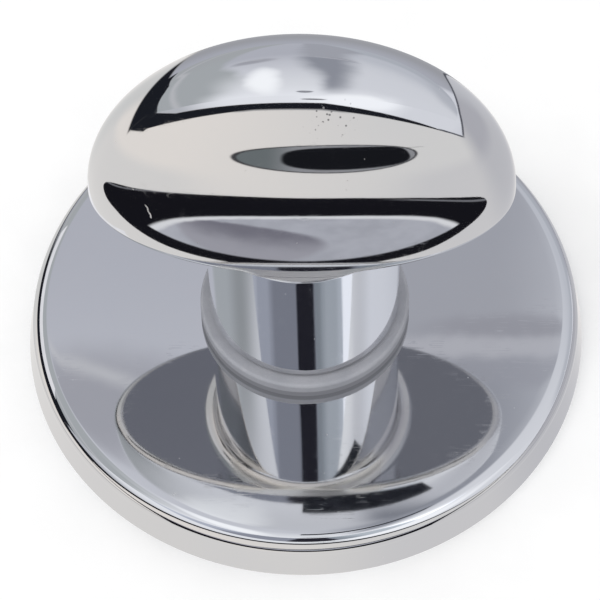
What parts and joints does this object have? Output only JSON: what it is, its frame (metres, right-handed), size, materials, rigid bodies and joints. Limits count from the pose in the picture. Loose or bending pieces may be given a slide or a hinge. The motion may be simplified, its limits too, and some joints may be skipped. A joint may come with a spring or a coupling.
{
  "type": "thumb turn",
  "caption": "Domed oval turn knob on a round neck and a low round rose, for working a bathroom lock from inside through a square spindle.",
  "frame": {"origin": "centre of the rose's foot, on the face of the door", "axes": "+Z away from the door along the turn's axis, X along the knob at rest"},
  "size_m": [0.051, 0.051, 0.0426],
  "materials": {
    "polished_chrome": "mirror-polished chrome plate on a zinc casting",
    "polished_chrome_sheet": "mirror-polished chrome plate on pressed sheet",
    "grey_nylon": "half-matt moulded nylon",
    "cast_zinc": "as cast zinc, dull grey",
    "spring_strip": "bright spring strip",
    "plated_steel": "zinc-plated steel stamping",
    "spring_steel": "blackened spring steel"
  },
  "bodies": {
    "rose": {"rose_cover": "polished_chrome_sheet", "base_plate": "cast_zinc", "neck_bush": "grey_nylon", "snap_ring": "spring_strip"},
    "turn": {"thumb_turn": "polished_chrome", "stop_washer": "plated_steel", "disc_spring": "spring_steel", "retaining_ring": "spring_steel"}
  },
  "joints": [
    {"name": "turn", "type": "hinge", "parent": "rose", "child": "turn", "pos_m": [0, 0, 0.0042], "axis": [0, 0, 1], "range_deg": [0, 90]}
  ]
}
